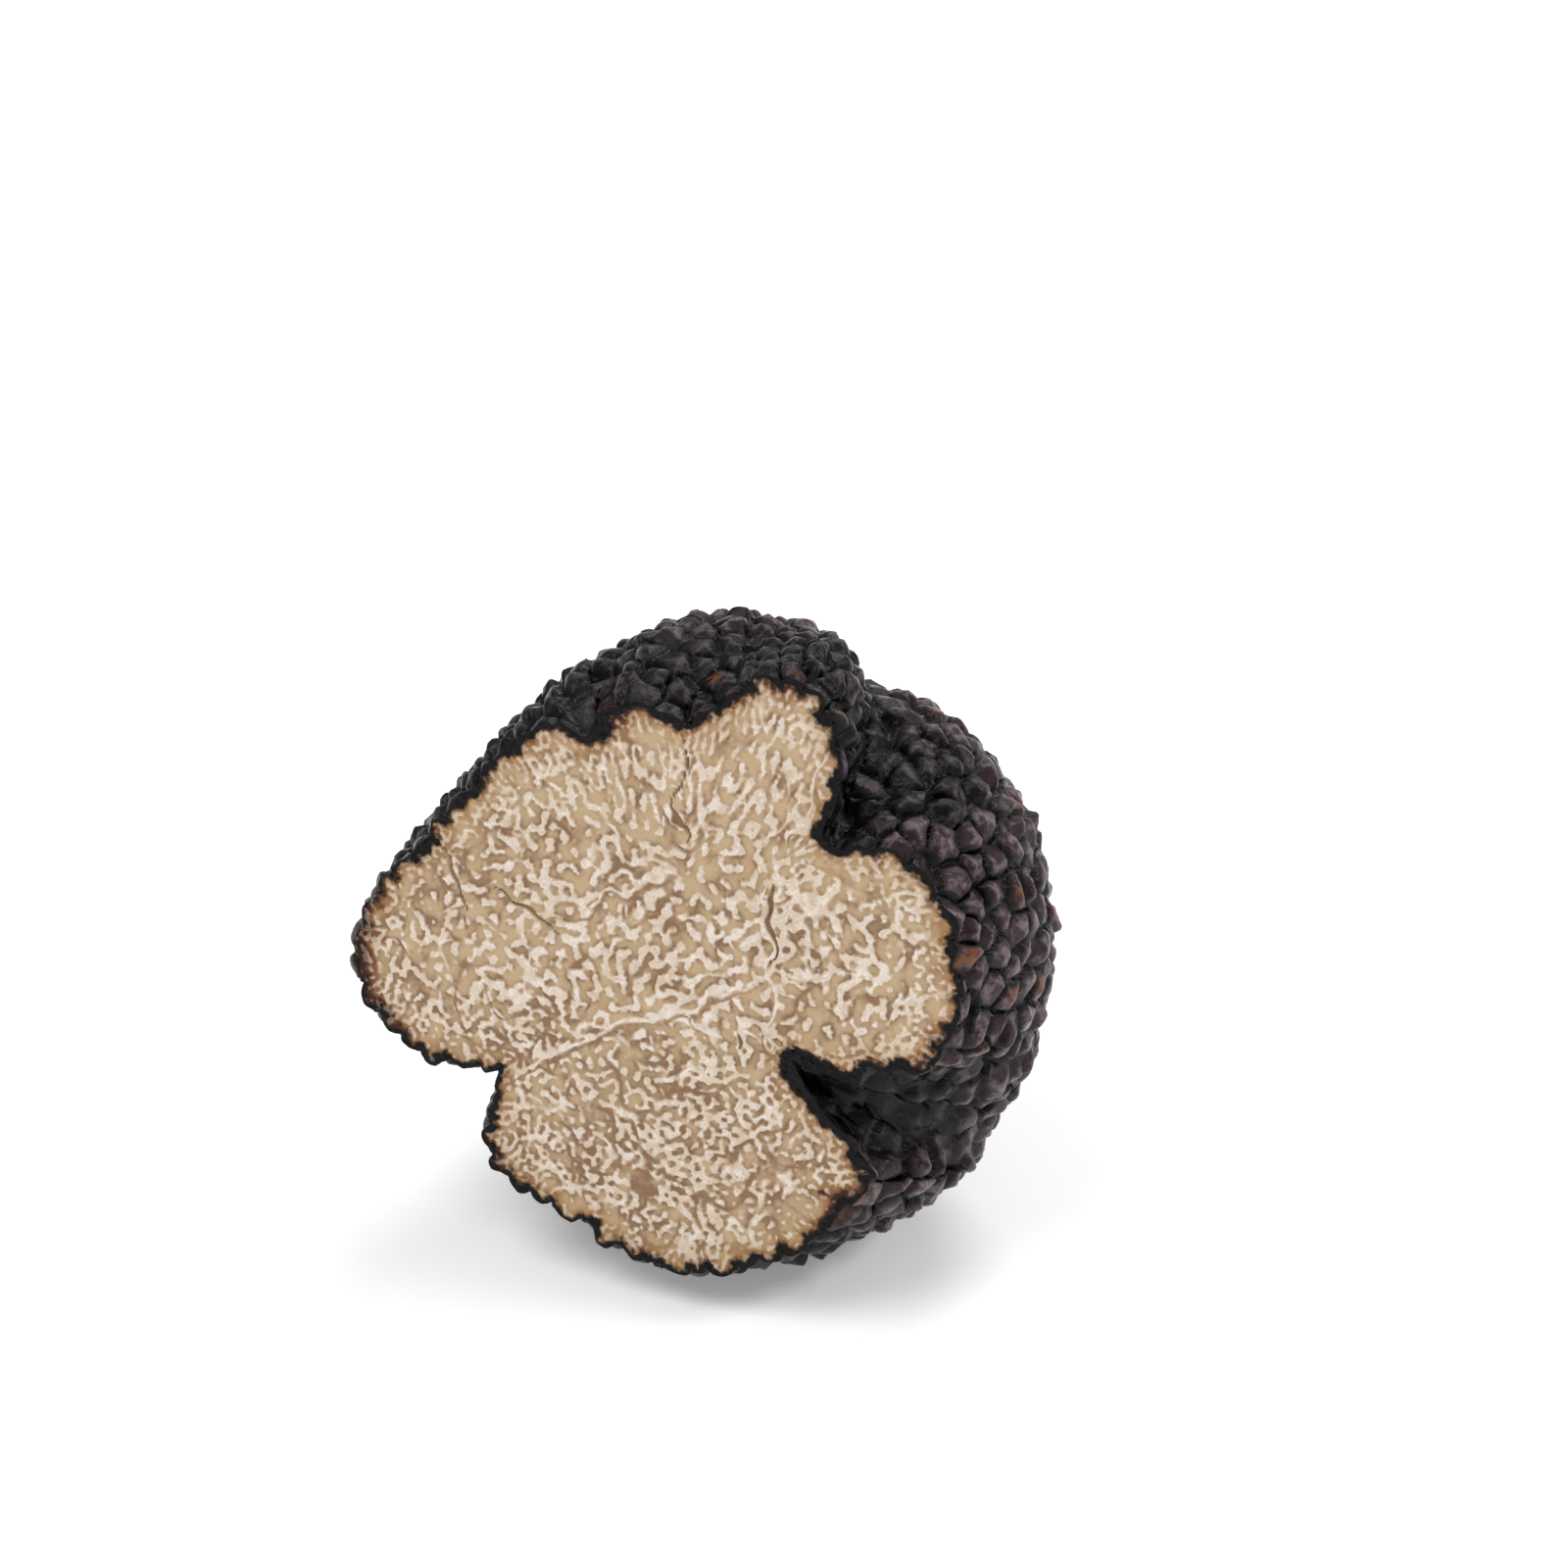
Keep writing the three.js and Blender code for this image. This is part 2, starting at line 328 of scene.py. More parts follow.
# Ranges over which each effect in the materials sets in, and its greatest share
SKIN_FROM = {
    "purple": (0.3, 1.15),
    # Where the painted highlight on the warts' edges sets in
    "edge_highlight": (0.36, 0.6),
    "tipped": (0.94, 0.96),
    "tip": (0.35, 0.7),
    "tip_patches": (0.42, 0.56),
    "rust": (0.45, 0.6),
    # The three below are where the painted shade sets in: low on each wart, between warts, in the deep
    # furrows
    "low": (0.6, 0.1),
    "crease_shade": (0.22, 0.04),
    "furrow": (0.2, 0.75),
    "rough": (0.25, 0.75),
}
# The last three shares are of painted shade
SKIN_SHARE = {"tip": 0.7, "rust": 0.7, "low": 0.6, "crease_shade": 0.95, "furrow": 0.92}
EDGE_HIGHLIGHT_SHARE = 0.2  # of the painted edge highlight on blue-black skin
EDGE_HIGHLIGHT_MORE = 0.46  # added to it on purple skin
SKIN_ROUGHNESS = (0.2, 0.38)
SKIN_SPECULAR = 0.165
SKIN_BUMP = {"depth": 0.12, "strength": 0.7}
FLESH_FROM = {
    "filled": (-0.55, 0.5),
    # Where the painted highlight on the cream ridges' crests sets in
    "crest_side": (-1.0, -0.6),
    "crest_top": (-0.2, -0.6),
    "crest_patches": (0.35, 0.62),
    "tan": (0.0, 0.4),
    "brown": (0.35, 0.95),
    "cream": (-0.5, -1.1),
    "light": (-0.5, 1.3),
    "olive": (-1.4, 1.4),
    "dull": (0.42, 0.66),
    "grain": (0.5, 0.75),
    "near_rim": (3.5, 0.6),
    "broad_teeth": (0.36, 0.72),
    "fine_teeth": (0.3, 0.7),
    "glow_patches": (0.3, 0.65),
    "glow": (RIND + 1.1, RIND),
    "burnt": (RIND + 0.55, RIND - 0.02),
    "rind": (RIND + 0.2, RIND - 0.1),
    "rough": (0.3, 0.7),
}
FLESH_SHARE = {
    "plate": 0.6,
    "light": 0.8,
    "olive": 0.25,
    "dull": 0.55,
    "crest_highlight": 0.8,
    "grain": 0.3,
    "near_rim": 0.35,
    "fine_teeth": 0.35,
}
GLOW_PATCHES = (0.35, 0.95)
GLOW_ON_CREAM = 0.4
BURNT_ON_CREAM = 0.65
RUST_WIDENS = {"glow": 1.2, "burnt": 0.6}  # how much further in both reach where it is rusty
FLESH_ROUGHNESS = (0.42, 0.6)
FLESH_SPECULAR = 0.18
FLESH_BUMP = {"depth": 0.08, "strength": 0.6}

# Camera
AZIMUTH = 20.0
ELEVATION = 28.0
LENS = 85.0
SENSOR = 36.0
IMAGE = 1600  # pixels along each side of the photo
MM_PER_PIXEL = 0.085  # at the middle of the face
FACE_PIXEL = (690, 985)  # where the middle of the face is seen
NEAREST_SEEN = 0.01  # metres

# Floor and light, in metres and watts
FLOOR_REACH = 4.0
FLOOR_COLOUR = (0.97, 0.97, 0.97, 1)
FLOOR_ROUGHNESS = 0.9
FLOOR_GLOW = 0.22
WHITE = (1, 1, 1, 1)
WORLD_STRENGTH = 0.38
LIGHTS_AIM = (0, 0, 0.03)
LIGHTS = [
    {"name": "key", "place": (-0.5, -0.7, 1.6), "size": 1.1, "power": 14.8, "colour": (1, 1, 1)},
    {"name": "back", "place": (0.1, 1.1, 1.5), "size": 0.9, "power": 13.0, "colour": (0.97, 0.99, 1.0)},
    {"name": "right", "place": (1.4, 0.35, 1.2), "size": 0.4, "power": 10.5, "colour": (1.0, 0.985, 0.985)},
]


def bell(x, power=2):
    return np.exp(-(np.abs(x) ** power))


def wrapped(angle):
    return (angle + 180) % 360 - 180


def unit(v):
    return v / np.linalg.norm(v, axis=-1, keepdims=True)


def smoothstep(low, high, x):
    t = np.clip((x - low) / (high - low), 0, 1)
    return t * t * (3 - 2 * t)


def direction(azimuth, depth):
    """Unit directions in the face's frame from azimuths and depth angles."""
    a = np.radians(azimuth)
    b = np.radians(depth)
    return np.stack([np.cos(a) * np.cos(b), np.sin(a) * np.cos(b), -np.sin(b)], axis=-1)


def lobe_height(lobe, azimuth, depth):
    middle = lobe["azimuth"] + lobe.get("drift", 0) * depth
    across = wrapped(azimuth - middle) * np.cos(np.radians(depth))
    beside = bell(across / lobe["spread"], lobe.get("power", 2))
    return lobe["height"] * beside * bell(depth / lobe["run"])


def smooth_body(d):
    """The smooth body in directions d: its distance from the face's middle, and its furrows' depth."""
    azimuth = np.degrees(np.arctan2(d[:, 1], d[:, 0]))
    depth = np.degrees(np.arcsin(np.clip(-d[:, 2], -1, 1)))
    sphere = np.sqrt(BODY_RADIUS**2 - FACE_OFFSET**2 * (1 - d[:, 2] ** 2)) - FACE_OFFSET * d[:, 2]
    sphere_rim = math.sqrt(BODY_RADIUS**2 - FACE_OFFSET**2)
    distance = sphere + (RIM_RADIUS - sphere_rim) * bell(depth / RIM_REACH)
    for lobe in LOBES:
        distance += lobe_height(lobe, azimuth, depth)
    furrow = -sum(lobe_height(f, azimuth, depth) for f in FURROWS)
    for s in SWELLINGS:
        towards = direction(s["azimuth"], s["depth"])
        angle = np.degrees(np.arccos(np.clip(d @ towards, -1, 1)))
        distance += s["height"] * bell(angle / s["spread"])
    return distance - furrow, furrow


def body_points(d):
    return d * smooth_body(d)[0][:, None]


def body_normals(d):
    """Outward normals of the smooth body in directions d."""
    side = unit(np.cross([0.0, 0.0, 1.0], d) + NORMAL_NUDGE)
    up = np.cross(d, side)
    here = body_points(d)
    a = body_points(unit(d + NORMAL_STEP * side)) - here
    b = body_points(unit(d + NORMAL_STEP * up)) - here
    return unit(np.cross(a, b))


def wart_tips():
    """Directions of the warts' tips: candidates in a scrambled order, each kept if it has room."""
    i = np.arange(CANDIDATES)
    z = 1 - 2 * (i + 0.5) / CANDIDATES
    turn = i * math.pi * (3 - math.sqrt(5))
    r = np.sqrt(1 - z * z)
    d = np.stack([r * np.cos(turn), r * np.sin(turn), z], axis=-1)
    p = body_points(d)
    patches = np.sin(p[:, 0] / PATCH[0]) * np.cos(p[:, 1] / PATCH[1] + p[:, 2] / PATCH[2])
    room = WART_SPACING + SPACING_TO_THE_RIGHT * d[:, 0] + SPACING_SWING * patches
    room[d[:, 2] > SCRAP_FROM] = SCRAP_SPACING
    kept = np.full((CANDIDATES, 3), FAR)
    chosen = []
    n = 1
    for _ in range(CANDIDATES):
        n = (STRIDE * n + START) % CANDIDATES
        away = kept[: len(chosen)] - p[n]
        if not chosen or (away * away).sum(axis=1).min() >= room[n] ** 2:
            kept[len(chosen)] = p[n]
            chosen.append(n)
    return d[chosen]


def noise_at(points, length, offset=0.0):
    """Smooth noise from -1 to 1 at points, with features of one length."""
    shift = Vector((offset, 2 * offset, -offset))
    return np.array([noise.noise(Vector(p) / length + shift) for p in points.tolist()])


def noise_vectors(points, length):
    noise.seed_set(WANDER_SEED)
    return np.array([noise.noise_vector(Vector(p) / length)[:] for p in points.tolist()])


def nearest_tips(points, tips):
    """Indices and squared distances of the nearest tips, nearest first."""
    index = np.empty((len(points), NEIGHBOURS), dtype=int)
    square = np.empty((len(points), NEIGHBOURS))
    for start in range(0, len(points), BLOCK):
        q = points[start : start + BLOCK]
        away = (q**2).sum(1)[:, None] + (tips**2).sum(1)[None, :] - 2 * q @ tips.T
        near = np.argpartition(away, NEIGHBOURS, axis=1)[:, :NEIGHBOURS]
        order = np.argsort(np.take_along_axis(away, near, 1), axis=1)
        near = np.take_along_axis(near, order, 1)
        index[start : start + BLOCK] = near
        square[start : start + BLOCK] = np.take_along_axis(away, near, 1)
    return index, square


def soft_least(values, softness):
    """Least of the values along the last axis, with the ridges between them rounded."""
    least = values.min(axis=-1, keepdims=True)
    return least[..., 0] - softness * np.log(np.exp(-(values - least) / softness).sum(axis=-1))


def skin_grain(p):
    fine = noise_at(p, GRAIN_LENGTH / FINE_GRAIN_RATIO, FINE_GRAIN_OFFSET)
    return GRAIN * (noise_at(p, GRAIN_LENGTH) + FINE_GRAIN * fine)


def wart_relief(p, n):
    """The skin at points p of the smooth body, with normals n: its height over them, how far inside
    its wart and how near an edge between facets each point is, and the wart's number."""
    tips = wart_tips()
    tip_p = body_points(tips)
    tip_n = body_normals(tips)
    rng = np.random.default_rng(WART_SEED)
    count = len(tips)
    lean = rng.normal(0, TILT, (count, 3))
    chip = unit(rng.normal(0, 1, (count, CHIPS, 3))) * CHIP_SLOPE
    chip_top = rng.uniform(*CHIP_TOPS, (count, CHIPS))
    wandered = p + WANDER * noise_vectors(p, WANDER_LENGTH)
    here = np.hstack([wandered, WALL_WEIGHT * n])
    there = np.hstack([tip_p, WALL_WEIGHT * tip_n])
    index, square = nearest_tips(here, there)
    own = index[:, 0]
    gaps = ((there[index[:, 1:]] - there[own][:, None]) ** 2).sum(-1)
    reach = np.sort((square[:, 1:] - square[:, :1]) / gaps, axis=1)[:, :2]
    inside = np.clip(reach[:, 0], 0, 1)
    tip_swing = 1 + HEIGHT_SWING * np.sin(np.arange(count))
    offset = p - tip_p[own]
    sides = np.stack([SIDE_SLOPE * inside, SHOULDER + (1 - SHOULDER) * inside], axis=-1)
    dome = soft_least(sides, DOME_SOFTNESS)
    cuts = [chip_top[own, i] + (chip[own, i] * offset).sum(1) for i in range(CHIPS)]
    facets = np.stack([dome] + cuts, axis=-1)
    top = soft_least(facets, FACET_SOFTNESS)
    lowest = np.sort(facets, axis=-1)[:, :2]
    spine = bell((reach[:, 1] - reach[:, 0]) / SPINE_WIDTH) * bell((lowest[:, 0] - dome) / SPINE_DEPTH)
    facet_edge = bell((lowest[:, 1] - lowest[:, 0]) / FACET_EDGE)
    edge = np.maximum(spine, facet_edge) * smoothstep(*EDGE_INSIDE, inside)
    top += (lean[own] * offset).sum(1) * smoothstep(*LEAN_INSIDE, inside)
    height = -CREASE_DEPTH + (CREASE_DEPTH + WART_HEIGHT * tip_swing[own]) * top
    return height + skin_grain(p), inside, edge, own


def disc_triangles(rings):
    """Triangles of a disc whose ring k, from 1 to rings, has 4 k points round the one in the middle."""
    parts = []
    for k in range(rings):
        inner = 1 + 2 * k * (k - 1) if k else 0
        outer = 1 + 2 * k * (k + 1)
        quarter = np.repeat(np.arange(4), k + 1)
        i = np.tile(np.arange(k + 1), 4)
        here = inner + (quarter * k + i) % (4 * k) if k else np.zeros(4, dtype=int)
        out = outer + quarter * (k + 1) + i
        out_next = outer + (quarter * (k + 1) + i + 1) % (4 * (k + 1))
        parts.append(np.stack([here, out, out_next], axis=-1))
        if k:
            keep = i < k
            here_next = inner + (quarter * k + i + 1) % (4 * k)
            parts.append(np.stack([here, out_next, here_next], axis=-1)[keep])
    return np.concatenate(parts)


def ring_places(rings):
    """For each point of such a disc: its ring's number over rings, and how far round it is, 0 to 1."""
    k = np.concatenate([[0], np.repeat(np.arange(1, rings + 1), 4 * np.arange(1, rings + 1))])
    start = np.where(k > 0, 1 + 2 * k * (k - 1), 0)
    return k / rings, (np.arange(len(k)) - start) / np.maximum(4 * k, 1)


def rim_points(azimuth):
    return body_points(direction(azimuth, np.zeros_like(azimuth)))


def even_azimuths(count):
    """Azimuths of points that divide the smooth rim into stretches of one length."""
    azimuth = np.linspace(0, 360, RIM_STEPS + 1)
    steps = np.linalg.norm(np.diff(rim_points(azimuth), axis=0), axis=1)
    run = np.concatenate([[0], np.cumsum(steps)])
    return np.interp(np.linspace(0, run[-1], count + 1), run, azimuth)


def skin_surface():
    """Points of the skin in the face's frame, ring by ring from the back to the rim, with what is
    known of each."""
    share, round_share = ring_places(RINGS)
    even = even_azimuths(4 * RINGS)
    rim_azimuth = np.interp(round_share * 4 * RINGS, np.arange(4 * RINGS + 1), even)
    weight = share**EVENING_POWER
    azimuth = (1 - weight) * 360 * round_share + weight * rim_azimuth
    depth = 90 * (1 - share)
    d = direction(azimuth, depth)
    distance, furrow = smooth_body(d)
    p = d * distance[:, None]
    n = body_normals(d)
    height, inside, edge, wart = wart_relief(p, n)
    height *= 1 - (1 - DEEP_SHARE) * np.clip(furrow / DEEP_FURROW, 0, 1)
    way = n.copy()
    way[:, 2] *= 1 - bell(depth / RIM_SHIFT_REACH)
    moved = p + unit(way) * height[:, None]
    return {"points": moved, "smooth": p, "furrow": furrow, "inside": inside, "edge": edge, "wart": wart}


def to_part(points):
    """Points of the face's frame in the part's frame."""
    lean = math.radians(FACE_LEAN)
    x, y, z = points.T
    back = y * math.sin(lean) - z * math.cos(lean)
    up = y * math.cos(lean) + z * math.sin(lean)
    return np.stack([x, back, up], axis=-1) + FACE_MIDDLE


def make_piece(name, points, triangles, attributes):
    """A smooth-shaded mesh object in metres, with one number a point under each attribute's name."""
    mesh = bpy.data.meshes.new(name)
    mesh.vertices.add(len(points))
    mesh.vertices.foreach_set("co", (points * MM).ravel())
    mesh.loops.add(3 * len(triangles))
    mesh.loops.foreach_set("vertex_index", triangles.ravel())
    mesh.polygons.add(len(triangles))
    mesh.polygons.foreach_set("loop_start", np.arange(0, 3 * len(triangles), 3))
    mesh.update(calc_edges=True)
    mesh.validate()
    mesh.polygons.foreach_set("use_smooth", np.ones(len(triangles), dtype=bool))
    mesh.set_sharp_from_angle(angle=math.radians(SHARP_ANGLE))
    for key, values in attributes.items():
        attribute = mesh.attributes.new(key, "FLOAT", "POINT")
        attribute.data.foreach_set("value", values.astype(np.float32))
    piece = bpy.data.objects.new(name, mesh)
    bpy.context.scene.collection.objects.link(piece)
    return piece


def rim_fan(rim, apex):
    """Triangles from the rim's points round to one point, facing out of the cut."""
    return np.stack([rim, np.roll(rim, -1), np.full(len(rim), apex)], axis=-1)


def frequencies():
    return np.meshgrid(np.fft.rfftfreq(GRID, GRID_STEP), np.fft.fftfreq(GRID, GRID_STEP))


def band(wave, stretch=1.0, turn=0.0):
    """Filter that keeps patterns of about one length, stretched along a direction in radians."""
    u, v = frequencies()
    along = u * math.cos(turn) + v * math.sin(turn)
    across = v * math.cos(turn) - u * math.sin(turn)
    return bell((np.hypot(along * stretch, across) * wave - 1) / BAND_SPREAD)


def broader(wave):
    """Filter that keeps all that is longer than a length."""
    u, v = frequencies()
    return bell(BROADER_CUT * wave * np.hypot(u, v))


def filtered(field, gain):
    return np.fft.irfft2(np.fft.rfft2(field) * gain, s=field.shape)


def noise_field(seed, gain):
    field = filtered(np.random.default_rng(seed).standard_normal((GRID, GRID)), gain)
    return (field - field.mean()) / field.std()


def layered(layers):
    total = 0.0
    for layer in layers:
        gain = band(layer["about"]) if "about" in layer else broader(layer["above"])
        total = total + layer["weight"] * noise_field(layer["seed"], gain)
    return total


def upper_share(x, y):
    """How far the pattern turns into upright streaks at places on the face."""
    return smoothstep(*UPPER_PART, y - UPPER_DROOP * np.abs(x))


def ridge_filters(x, y):
    """Filters that the marbling grows by, each with its weight at the grid's places."""
    azimuth = np.arctan2(y, x)
    rim_azimuth = np.linspace(-180, 180, RIM_DIRECTIONS + 1)
    rim = np.linalg.norm(rim_points(rim_azimuth), axis=1)
    edge = np.interp(np.degrees(azimuth), rim_azimuth, rim) - np.hypot(x, y)
    near_rim = RIM_SHARE * smoothstep(*RIM_ZONE, edge)
    upper = (1 - near_rim) * upper_share(x, y)
    lower = (1 - near_rim - upper) * smoothstep(*LOWER_HALF, y)
    kinds = [(1 - near_rim - upper - lower, MIDDLE_WAVE, 1.0, 0.0), (lower, LOWER_WAVE, 1.0, 0.0)]
    for i in range(SECTORS):
        turn = i * math.pi / SECTORS
        away = np.abs((azimuth - turn + math.pi / 2) % math.pi - math.pi / 2) * SECTORS / math.pi
        sector = np.clip(1 - away, 0, 1)
        kinds.append((upper * sector, STREAKS["wave"], STREAKS["stretch"], turn))
        kinds.append((near_rim * sector, RIM_STREAKS["wave"], RIM_STREAKS["stretch"], turn))
    return [
        (weight, band(wave, stretch, turn) + LOBES_SHARE * band(LOBES_LENGTH * wave, stretch, turn))
        for weight, wave, stretch, turn in kinds
        if weight.any()
    ]


def grown_ridges(x, y):
    """Winding ridges on the grid, from noise filtered and sharpened round after round."""
    filters = ridge_filters(x, y)
    bias = layered(PATCHES) * (1 - UPPER_CALM * smoothstep(*UPPER_PART, y)) + FILLED
    field = np.random.default_rng(GROWTH_SEED).standard_normal((GRID, GRID))
    for _ in range(ROUNDS):
        terms = np.fft.rfft2(field)
        grown = np.zeros_like(field)
        for weight, gain in filters:
            part = np.fft.irfft2(terms * gain, s=field.shape)
            grown += weight * part / np.sqrt((weight * part**2).sum() / weight.sum())
        field = np.tanh(STEEPNESS * grown + bias)
    field += ROUGH * layered(ROUGHNESS)
    return filtered(field, broader(SMOOTHED))


def blended(p, q, share):
    """Two patterns mixed without losing contrast."""
    return ((1 - share) * p + share * q) / np.sqrt(share**2 + (1 - share) ** 2)


def thin_lines(lines, x, y):
    """Winding lines on the grid, upright in the upper part and fading in and out on their way."""
    seed = lines["seed"]
    wave = lines["wave"]
    winding = noise_field(seed, band(wave))
    upright = noise_field(seed, band(UPRIGHT["wave"] * wave, UPRIGHT["stretch"], math.pi / 2))
    level = blended(winding, upright, upper_share(x, y))
    fade = smoothstep(*FADE, noise_field(seed + 1, broader(FADE_LENGTH)))
    return bell(level / (lines["width"] * 2 * math.pi / wave)) * fade


def drawn(field, lines, share):
    """A field with such lines drawn into it."""
    return field + lines["strength"] * (lines["level"] - field) * share


def grid_fields():
    """The flesh's fields on the grid: fill is above 0 where it is tan or brown, depth is how dark
    that is, plate the broad plates of tan, shade the olive parts and light the light ones."""
    steps = (np.arange(GRID) - GRID / 2) * GRID_STEP
    x, y = np.meshgrid(steps, steps)
    web = thin_lines(WEB, x, y)
    rivers = thin_lines(RIVERS, x, y)
    ridges = drawn(drawn(grown_ridges(x, y), WEB, web), RIVERS, rivers)
    tan_or_brown = smoothstep(*TAN_FROM, ridges)
    filled = filtered(tan_or_brown, broader(PLATE_LENGTH))
    closely_filled = filtered(tan_or_brown, broader(CHANNEL_LENGTH))
    dark = layered(DARKER)
    olive = layered(OLIVE)
    from_lightest = np.hypot(x - LIGHTEST[0], y - LIGHTEST[1])
    light = layered(LIGHTER) + LIGHTEST_GAIN * bell(from_lightest / LIGHTEST_REACH) - LIGHTEST_LESS
    deeper = {
        "lower": smoothstep(*LOWER_HALF, y),
        "ridges": smoothstep(*HIGH_RIDGES, ridges),
        "channels": smoothstep(*CHANNEL_FILLED, closely_filled) * smoothstep(*CHANNEL_OPEN, filled),
        "filled": filled - USUAL_FILLED,
        "dark": dark,
        "light": light,
        "rivers": rivers,
        "upper": smoothstep(*UPPER_PART, y),
    }
    depth = DEPTH_START
    for name, weight in DEPTH_WEIGHTS.items():
        depth = depth + weight * deeper[name]
    plate = smoothstep(*PLATE_FILLED, filled + PLATE_OLIVE * olive - PLATE_DARK * dark) * (1 - rivers)
    return {"fill": ridges, "depth": np.clip(depth, 0, 1), "plate": plate, "shade": olive, "light": light}


def sampled(field, x, y):
    """A grid's values at places on the face."""
    last = GRID - 1.001
    u = np.clip(x / GRID_STEP + GRID / 2, 0, last)
    v = np.clip(y / GRID_STEP + GRID / 2, 0, last)
    i = u.astype(int)
    j = v.astype(int)
    s = u - i
    t = v - j
    low = field[j, i] * (1 - s) + field[j, i + 1] * s
    high = field[j + 1, i] * (1 - s) + field[j + 1, i + 1] * s
    return low * (1 - t) + high * t


def near_line(x, y, line):
    """Distance from points to a line of stretches, and its thickness there, tapering to its ends."""
    best = np.full(x.shape, FAR)
    along = np.zeros(x.shape)
    run = 0.0
    for (ax, ay), (bx, by) in zip(line[:-1], line[1:]):
        length = math.hypot(bx - ax, by - ay)
        t = np.clip(((x - ax) * (bx - ax) + (y - ay) * (by - ay)) / length**2, 0, 1)
        away = np.hypot(x - ax - t * (bx - ax), y - ay - t * (by - ay))
        nearer = away < best
        best = np.where(nearer, away, best)
        along = np.where(nearer, run + t * length, along)
        run += length
    taper = np.sin(np.pi * np.clip(along / run, *LINE_ENDS)) ** LINE_TAPER
    return best, taper


def draw_vein(fields, x, y, vein):
    width = vein["width"]
    away, taper = near_line(x, y, vein["line"])
    beside, _ = near_line(x, y + SHADOW["apart"] * width, vein["line"])
    ridge = bell(away / (VEIN["spread"] * width * taper))
    shadow = bell(beside / (width * taper)) * (1 - ridge)
    fill = fields["fill"]
    depth = fields["depth"]
    darkened = SHADOW["fill_share"] * (SHADOW["fill"] - fill) * shadow
    fields["fill"] = fill + (VEIN["fill"] - fill) * ridge + darkened
    fields["depth"] = depth + SHADOW["depth_share"] * (SHADOW["depth"] - depth) * shadow
    fields["plate"] = fields["plate"] * (1 - shadow)
    fields["relief"] = fields["relief"] + VEIN["rise"] * ridge


def draw_crack(fields, x, y, crack):
    width = crack["width"]
    away, taper = near_line(x, y, crack["line"])
    core = bell(away / (width * taper), CRACK_POWER)
    lip = bell(away / (CRACK_LIP["spread"] * width * taper), CRACK_POWER)
    depth = fields["depth"]
    fill = fields["fill"] + (CRACK_LIP["fill"] - fields["fill"]) * lip
    fields["fill"] = fill + (CRACK_CORE["fill"] - fill) * core
    fields["depth"] = depth + (CRACK_CORE["depth"] - depth) * core
    fields["plate"] = fields["plate"] * (1 - core)
    fields["relief"] = fields["relief"] + CRACK_LIP["rise"] * lip - CRACK_CORE["sink"] * core


def marbling(x, y):
    """The flesh's fields at places on the face, with its veins and cracks, and its relief."""
    fields = {name: sampled(field, x, y) for name, field in grid_fields().items()}
    sinking = smoothstep(*RELIEF_FILLED, fields["fill"]) * (RELIEF_FLAT + RELIEF_DEEP * fields["depth"])
    fields["relief"] = RELIEF_TOP - RELIEF_SINK * sinking
    astray = layered(ASTRAY)
    px = x + ASTRAY_BY * sampled(astray, x, y)
    py = y + ASTRAY_BY * sampled(astray, y, x)
    for vein in VEINS:
        draw_vein(fields, px, py, vein)
    for crack in CRACKS:
        draw_crack(fields, px, py, crack)
    return fields


def rust_at(x, y, z):
    """How rust-brown the rim is at places in the face's frame."""
    total = np.zeros_like(x)
    for spot in RUST:
        away = np.sqrt((x - spot["place"][0]) ** 2 + (y - spot["place"][1]) ** 2 + z**2)
        total += spot["strength"] * bell(away / spot["reach"])
    return np.clip(total, 0, 1)


def along_ring(ring, place):
    """Points of a closed ring at places between its own, counted from its first."""
    closed = np.vstack([ring, ring[:1]])
    own = np.arange(len(closed))
    return np.stack([np.interp(place, own, closed[:, i]) for i in range(ring.shape[1])], axis=-1)


def distance_to_rim(points, rim):
    """Distance in the face from points to the nearest of places set close along the rim."""
    dense = along_ring(rim, np.arange(0, len(rim), RIM_FINENESS))
    tree = KDTree(len(dense))
    for i, (x, y, _) in enumerate(dense.tolist()):
        tree.insert((x, y, 0), i)
    tree.balance()
    return np.array([tree.find((x, y, 0))[2] for x, y in points[:, :2].tolist()])


def purple_and_rim_light_at(placed):
    """How purple the skin is at places in the part's frame: to the right and to the back, where it is
    partly painted rim light, and in patches.
    """
    x, y, z = placed.T
    right = smoothstep(*PURPLE_RIGHT, x) * smoothstep(*PURPLE_BELOW, z)
    back = smoothstep(*PURPLE_BACK, y)
    patches = PURPLE_PATCHES["weight"] * noise_at(placed, PURPLE_PATCHES["length"])
    spots = PURPLE_SPOTS["weight"] * noise_at(placed, PURPLE_SPOTS["length"], PURPLE_SPOTS["offset"])
    purple = PURPLE_PLACE * np.maximum(right, back) + (patches + spots) + PURPLE_MORE
    return smoothstep(*PURPLE_FROM, purple)


def skin_piece(skin):
    points = np.vstack([skin["points"], [[0, 0, -LENS_DEPTH - LENS_GAP]]])
    rim = np.arange(len(points) - 1 - 4 * RINGS, len(points) - 1)
    triangles = np.vstack([disc_triangles(RINGS)[:, ::-1], rim_fan(rim, len(points) - 1)])
    placed = to_part(points)
    placed[:, 2] = np.maximum(placed[:, 2], 0)
    rng = np.random.default_rng(TINT_SEED)
    tint = rng.uniform(0, 1, skin["wart"].max() + 1)[skin["wart"]]
    attributes = {
        "inside": np.append(skin["inside"], 0),
        "edge": np.append(skin["edge"], 0),
        "tint": np.append(tint, 0),
        # The furrows' depth, which sets the painted shade in them
        "furrow": np.append(np.clip(skin["furrow"] / DEEP_FURROW, 0, 1), 1),
        "purple": purple_and_rim_light_at(placed),
        "rust": rust_at(*points.T),
    }
    return make_piece("skin", placed, triangles, attributes)


